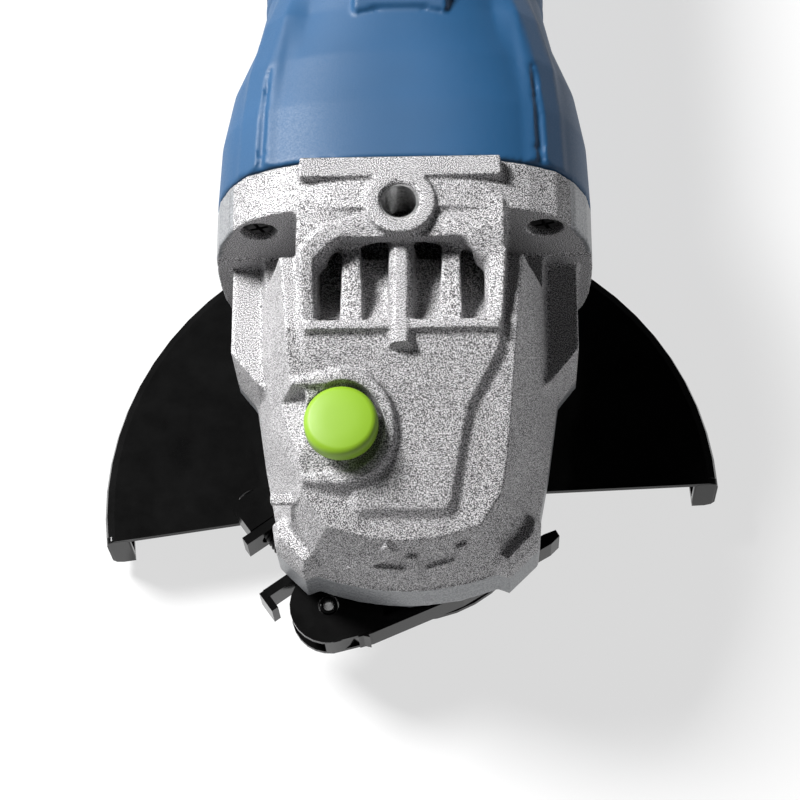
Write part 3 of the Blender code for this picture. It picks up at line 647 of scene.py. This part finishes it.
def superellipse(half_x, half_z, power, shoulder, count):
    """Rounded section of a shell, squared out above its middle to the shoulder's half width."""
    shelf, corner = half_z - 3.5, shoulder + 0.73 * half_z
    points = []
    for i in range(count):
        a = 2 * math.pi * (i + 0.5) / count
        c, s = math.cos(a), math.sin(a)
        reach = (abs(c / half_x) ** power + abs(s / half_z) ** power) ** (-1 / power)
        if s > 0 and shoulder:
            square = min(shoulder / abs(c), shelf / s)
            reach = max(reach, min(square, corner / (abs(c) + s)))
        points.append((reach * c, reach * s))
    return points


def skin(rows):
    """A fine shell through stations of (y, half width, half height, power, centre height, shoulder)."""
    steps, count = 8, 160
    stations = []
    for y, half_x, half_z, power, centre, shoulder in rows:
        ring = superellipse(half_x, half_z, power, shoulder, count)
        stations.append([Vector((x, y, z + centre)) for x, z in ring])
    rings = []
    for first, second in zip(stations, stations[1:]):
        for step in range(steps):
            rings.append([a.lerp(b, step / steps) for a, b in zip(first, second)])
    return loft(rings + [stations[-1]])


def draw_to(obj, bm, reach):
    """Moves the vertices of obj that lie within reach of a shell's flanks on to them."""
    tree = BVHTree.FromBMesh(bm)
    for vertex in obj.data.vertices:
        place, normal, _, _ = tree.find_nearest(vertex.co, reach * MM)
        if place is not None and abs(normal.y) < 0.9:
            vertex.co = place
    bm.free()
    obj.data.update()


BARREL = [
    (48.3, 40.0, 34.0, 3.0, MOTOR_Z, 34.5),
    (62.0, 39.4, 33.6, 3.0, MOTOR_Z, 33.9),
    (74.0, 37.4, 32.8, 2.8, MOTOR_Z, 32.5),
    (86.0, 33.2, 31.4, 2.5, MOTOR_Z, 29.5),
    (98.0, 30.6, 30.4, 2.4, MOTOR_Z, 0.0),
    (168.0, 29.2, 29.8, 2.4, MOTOR_Z, 0.0),
]
REAR = [
    (168.3, 29.8, 30.4, 2.4, MOTOR_Z, 0.0),
    (185.0, 29.0, 30.6, 2.6, 52.0, 0.0),
    (205.0, 28.0, 31.0, 2.8, 50.5, 0.0),
    (218.0, 26.6, 30.0, 2.9, 50.0, 0.0),
    (226.0, 22.0, 25.0, 2.6, 50.0, 0.0),
]


def flank(height, half_x, half_z):
    """Half width of the barrel's section that far above its middle."""
    power = 2.4
    return half_x * (1 - abs(height / half_z) ** power) ** (1 / power)


def grip_ribs(half_x, half_z, low_y, high_y, count):
    """Rounded grip ribs round both flanks of a shell, from front to back."""
    proud, sunk, half = 0.75, 1.2, 0.9
    heights = range(-15, 16, 2)
    ribs = []
    for i in range(count):
        y = low_y + (high_y - low_y) * i / (count - 1)
        for side in (-1, 1):
            outer = [(side * (flank(h, half_x, half_z) + proud), MOTOR_Z + h) for h in heights]
            inner = [(side * (flank(h, half_x, half_z) - sunk), MOTOR_Z + h) for h in reversed(heights)]
            ribs.append(prism_y(outer + inner, y - half, y + half))
    return ribs


def shell(name, rows, ribs, look):
    """A moulded shell: the CAD node drawn smooth, with its grip ribs."""
    coarse, fine, reach = 0.6, 0.5, 0.9
    obj = mesh_object(f"{name}_skin", node_mesh(name))
    remesh(obj, coarse)
    draw_to(obj, skin(rows), reach)
    bm = bmesh.new()
    bm.from_mesh(obj.data)
    for rib in ribs:
        merge(bm, rib)
    bpy.data.objects.remove(obj)
    obj = mesh_object(f"{name}_skin", bm)
    remesh(obj, fine, 2)
    finish(obj, look)
    stand_in(obj, "body", name)


def motor_housing():
    """Blue nylon housing of the motor."""
    shell("motor_housing", BARREL, grip_ribs(30.2, 30.1, 96.0, 120.0, 7), "blue")


def rear_cover():
    """Black nylon cover behind the motor."""
    shell("rear_cover", REAR, grip_ribs(29.4, 30.6, 174.0, 186.0, 4), "black")


# ---------------------------------------------------------------- small parts


def lock_button():
    """Button with a rolled edge and a barely domed face."""
    base, top, radius, edge = 74.7, 79.2, 7.45, 1.7
    profile = [(0, base), (radius - 0.4, base), (radius, base + 0.4)]
    profile += arc((radius - edge, top - edge - 0.25), edge, 0, 78, 8)
    profile += [(3.0, top - 0.06), (0, top)]
    obj = mesh_object("button", moved(turned(profile, 72), *LOCK))
    obj.data.shade_smooth()
    finish(obj, "green")
    stand_in(obj, "lock", "lock_button")


def lock_spring():
    """Return spring under the pin's collar, which shortens as the button goes down."""
    radius, wire, low, high = 2.9, 0.45, 61.4, 71.2
    turns, per_turn, round_wire = 4, 36, 12
    rings = []
    for i in range(turns * per_turn + 1):
        a = 2 * math.pi * i / per_turn
        z = low + (high - low) * i / (turns * per_turn)
        ring = []
        for j in range(round_wire):
            b = 2 * math.pi * j / round_wire
            r = radius + wire * math.cos(b)
            ring.append((LOCK[0] + r * math.cos(a), LOCK[1] + r * math.sin(a), z + wire * math.sin(b)))
        rings.append(ring)
    obj = mesh_object("return_spring", loft(rings))
    obj.data.shade_smooth()
    finish(obj, "steel")
    stand_in(obj, "body", "lock_spring")
    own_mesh(obj)


def cross_screw(name, head, shank, place):
    """Pan-head screw along Z with a cross recess, then placed by a matrix.

    The head is (radius, low, high) and the shank is (radius, end).
    """
    radius, low, high = head
    edge = min(radius, high - low) * 0.55
    profile = [(0, low), (radius, low)]
    profile += arc((radius - edge, high - edge), edge, 0, 80, 6)
    profile += [(0, high)]
    obj = mesh_object(f"{name}_seen", turned(profile, 40))
    arm, half, deep = radius * 0.62, 0.42, high - (high - low) * 0.6
    for turn in (0.4, 0.4 + math.pi / 2):
        slot = prism([(-arm, -half), (arm, -half), (arm, half), (-arm, half)], deep, high + 1)
        slot.transform(Matrix.Rotation(turn, 4, "Z"))
        cut(obj, slot)
    bm = bmesh.new()
    bm.from_mesh(obj.data)
    bpy.data.objects.remove(obj)
    thin, end = shank
    merge(bm, turned([(0, end), (thin, end), (thin, low + 0.05), (0, low + 0.05)], 20))
    bm.transform(place)
    obj = mesh_object(f"{name}_seen", bm)
    obj.data.shade_smooth()
    obj.data.set_sharp_from_angle(angle=math.radians(40))
    finish(obj, "blackened")
    stand_in(obj, "body", name)


FLANGE_SCREWS = [(x, 0, z) for z in (75.5, 30.5) for x in (-29.5, 29.5)]
COVER_SCREWS = [(-21.0, -18.5, 0), (21.0, -18.5, 0), (-22.0, 18.5, 0), (22.0, 18.5, 0)]
REAR_SCREWS = [(-15.0, 0, 66.0), (15.0, 0, 66.0)]


def fasteners():
    """Screws of the flange, of the bearing cover from below, and of the rear cover from behind."""
    groups = (
        ("flange_screw", FLANGE_SCREWS, 90, (3.35, -40.6, -38.25), (2.0, -61.8)),
        ("cover_screw", COVER_SCREWS, 180, (3.55, -28.25, -26.75), (1.75, -37.8)),
        ("rear_cover_screw", REAR_SCREWS, -90, (3.15, 221.55, 223.95), (1.35, 206.2)),
    )
    for name, places, tilt, head, shank in groups:
        turn = Matrix.Rotation(math.radians(tilt), 4, "X")
        for i, place in enumerate(places):
            cross_screw(f"{name}_{i + 1}", head, shank, Matrix.Translation(Vector(place) * MM) @ turn)


def brush_cap(name, side):
    """Brush cap with a screwdriver slot and a rounded rim."""
    obj = mesh_object(f"{name}_seen", node_mesh(name))
    brush_y, deep, outside = 133.5, 30.3, 33
    corners = [(-4.8, -0.7), (4.8, -0.7), (4.8, 0.7), (-4.8, 0.7)]
    cut(obj, prism_x([(brush_y + y, MOTOR_Z + z) for y, z in corners], side * deep, side * outside))
    bake(rounded(obj, 0.35))
    finish(obj, "black")
    stand_in(obj, "body", name)


def switch_slider():
    """Thumb slider with grip grooves across its top."""
    obj = mesh_object("slider_seen", node_mesh("switch_slider"))
    bake(rounded(obj, 0.8))
    grooves, first, pitch, half, above, reach = 6, 99.5, 2.6, 1.1, 92.0, 6.2
    for i in range(grooves):
        y = first + pitch * i
        groove = [(y, 89.3 - 0.02 * i), (y + half, above), (y - half, above)]
        cut(obj, prism_x(groove, -reach, reach))
    obj.data.set_sharp_from_angle(angle=math.radians(35))
    finish(obj, "black")
    stand_in(obj, "slider", "switch_slider")


CLAMP_FOOT = Vector((-24.7, -17.5, 22.2))
CLAMP_DIR = Vector((0.578, -0.816, 0))
LEVER_PIVOT = CLAMP_FOOT + CLAMP_DIR * 12.5


def threaded_bolt():
    """Eye bolt of the clamp, with a rolled thread and a rounded eye."""
    radius, depth, pitch, low, high, columns = 2.18, 0.5, 1.0, -20.3, 8.6, 28
    rows = int((high - low) / pitch * THREAD_ROWS)
    rings = []
    for j in range(rows + 1):
        z = low + (high - low) * j / rows
        ring = []
        for i in range(columns):
            r = radius - thread_depth(depth, (j / THREAD_ROWS - i / columns) % 1.0)
            a = 2 * math.pi * i / columns
            ring.append((r * math.cos(a), r * math.sin(a), z))
        rings.append(ring)
    thread = loft(rings)
    turn = Vector((0, 0, 1)).rotation_difference(CLAMP_DIR).to_matrix().to_4x4()
    thread.transform(Matrix.Translation(CLAMP_FOOT * MM) @ turn)
    eye = turned([(2.3, 19.95), (3.7, 19.95), (4.15, 20.5), (4.15, 23.9), (3.7, 24.45), (2.3, 24.45)], 40)
    obj = mesh_object("eye_bolt", merge(moved(eye, LEVER_PIVOT.x, LEVER_PIVOT.y), thread))
    obj.data.shade_smooth()
    obj.data.set_sharp_from_angle(angle=math.radians(50))
    finish(obj, "blackened")
    stand_in(obj, "guard_unit", "clamp_bolt")


def hollow_rivet():
    """Lever pin, a tube whose end is rolled into a ring."""
    profile = [(1.2, 17.7), (1.95, 17.7), (1.95, 26.35), (1.9, 26.52), (1.6, 26.6), (1.3, 26.5), (1.2, 26.2)]
    obj = mesh_object("hollow_rivet", moved(turned(profile, 40), LEVER_PIVOT.x, LEVER_PIVOT.y))
    obj.data.shade_smooth()
    finish(obj, "gloss")
    stand_in(obj, "guard_unit", "lever_pin")


def guard_ends():
    """Folded-over ends of the guard's skirt, which close its channel."""
    inner, outer, low, high, corner = 64.6, 67.0, 4.5, 15.5, 1.3
    section = arc((outer, high), corner, 0, 90, 4) + arc((inner, high), corner, 90, 180, 4)
    section += arc((inner, low), corner, 180, 270, 4) + arc((outer, low), corner, 270, 360, 4)
    first, last, depth, proud = 2.2, 188.2, 1.4, 0.04  # degrees round the guard
    ends = {"front_right": (first - proud, first + depth), "front_left": (last - depth, last + proud)}
    for name, angles in ends.items():
        rings = []
        for degrees in angles:
            a = math.radians(degrees)
            rings.append([(r * math.cos(a), r * math.sin(a), z) for r, z in section])
        obj = bake(rounded(mesh_object(f"guard_end_{name}", loft(rings)), 0.4))
        finish(obj, "gloss")
        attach(obj, "guard_unit")


# -------------------------------------------------------------- other pieces


# Words in a node's name, and the material and bevel it gets.
LOOKS = [
    (("bearing_cover",), "machined", 0.5),
    (("guard", "clamp_band", "clamp_lever", "clamp_nut"), "gloss", 0.4),
    (("inner_flange", "lock_nut"), "gloss", 0.35),
    (("fan", "cord_inlet", "switch_body"), "black", 0.3),
    (("winding", "field_coil", "commutator"), "copper", 0.4),
    (("bush", "brush_holder"), "bronze", 0.2),
    (("core",), "laminations", 0.2),
    (("carbon_brush",), "carbon", 0.2),
    (("",), "steel", 0.25),
]


def dress_the_rest():
    """Gives each CAD node that nothing stands for its look, with its sharp edges broken."""
    for name, node in NODES.items():
        if name in STOOD_FOR:
            continue
        look, width = next(row[1:] for row in LOOKS if any(word in name for word in row[0]))
        finish(node, look)
        rounded(node, width, 2)


# ---------------------------------------------------------------------- studio

LIGHT_AIM_M = Vector((0, 0, 0.05))
SKY = ((0.48, 1.0), (0.52, 0.55), (0.62, 0.1), (0.92, 0.006))  # share of the way up, and grey


def camera():
    """Looks down on the gear head from in front, a little from the right, as a product close-up does."""
    elevation, roll = math.radians(67.5), math.radians(2.0)
    distance, aim = 548.0, Vector((0, 0, 17.0))
    shift_right, shift_up = -2.41, 21.82
    back = Matrix.Rotation(roll, 3, "Y") @ Vector((0, -math.cos(elevation), math.sin(elevation)))
    up = Vector((0, 1, 0))
    up = (up - back * up.dot(back)).normalized()
    right = up.cross(back)
    place = aim + back * distance + right * shift_right + up * shift_up
    data = bpy.data.cameras.new("camera")
    data.lens = 110.8
    data.sensor_width = 36.0
    data.clip_start = 0.01
    obj = bpy.data.objects.new("camera", data)
    rotation = Matrix((right, up, back)).transposed()
    obj.matrix_world = Matrix.Translation(place * MM) @ rotation.to_4x4()
    bpy.context.scene.collection.objects.link(obj)
    bpy.context.scene.camera = obj


def area_light(name, place, size, power):
    """Square light in metres and watts, turned to the gear head."""
    data = bpy.data.lights.new(name, "AREA")
    data.shape = "SQUARE"
    data.size = size
    data.energy = power
    obj = bpy.data.objects.new(name, data)
    obj.location = place
    obj.rotation_euler = (Vector(place) - LIGHT_AIM_M).to_track_quat("Z", "Y").to_euler()
    bpy.context.scene.collection.objects.link(obj)
    obj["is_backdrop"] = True


def floor():
    """Pale floor that stays nearly white, and takes soft shadows."""
    half_m, gap_m = 3.0, 0.0005
    bm = bmesh.new()
    bmesh.ops.create_grid(bm, x_segments=1, y_segments=1, size=half_m)
    obj = mesh_object("floor", bm)
    obj.location = (0, 0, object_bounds()[0].z - gap_m)
    s = Shader("floor")
    s.set(Roughness=0.9, Base_Color=(0.22, 0.22, 0.22, 1))
    s.set(Emission_Color=(1, 1, 1, 1), Emission_Strength=0.68)
    obj.data.materials.append(s.material)
    obj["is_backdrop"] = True


def surroundings():
    """Pale horizon that fades to a dark zenith, so glossy tops stay dark."""
    world = bpy.data.worlds.new("studio")
    world.use_nodes = True
    nodes, links = world.node_tree.nodes, world.node_tree.links
    height = nodes.new("ShaderNodeSeparateXYZ")
    links.new(nodes.new("ShaderNodeTexCoord").outputs["Generated"], height.inputs["Vector"])
    share = nodes.new("ShaderNodeMapRange")
    share.inputs["From Min"].default_value = -1.0
    links.new(height.outputs["Z"], share.inputs["Value"])
    fade = nodes.new("ShaderNodeValToRGB")
    stops = fade.color_ramp.elements
    while len(stops) < len(SKY):
        stops.new(0.5)
    for stop, (at, grey) in zip(stops, SKY):
        stop.position = at
        stop.color = (grey, grey, grey * 1.04, 1)
    links.new(share.outputs["Result"], fade.inputs["Fac"])
    links.new(fade.outputs["Color"], nodes["Background"].inputs["Color"])
    nodes["Background"].inputs["Strength"].default_value = 1.0
    bpy.context.scene.world = world


def studio():
    """Pale floor and surroundings, one strong key from the upper left behind, and a faint fill."""
    floor()
    surroundings()
    area_light("key", (-0.66, 0.42, 0.9), 0.32, 31)
    area_light("fill", (0.6, -0.9, 0.7), 0.5, 0.6)
    bpy.context.scene.view_settings.view_transform = "Standard"


gear_housing()
motor_housing()
rear_cover()
lock_button()
lock_spring()
fasteners()
brush_cap("brush_cap_left", -1)
brush_cap("brush_cap_right", 1)
switch_slider()
threaded_bolt()
hollow_rivet()
guard_ends()
dress_the_rest()
camera()
studio()
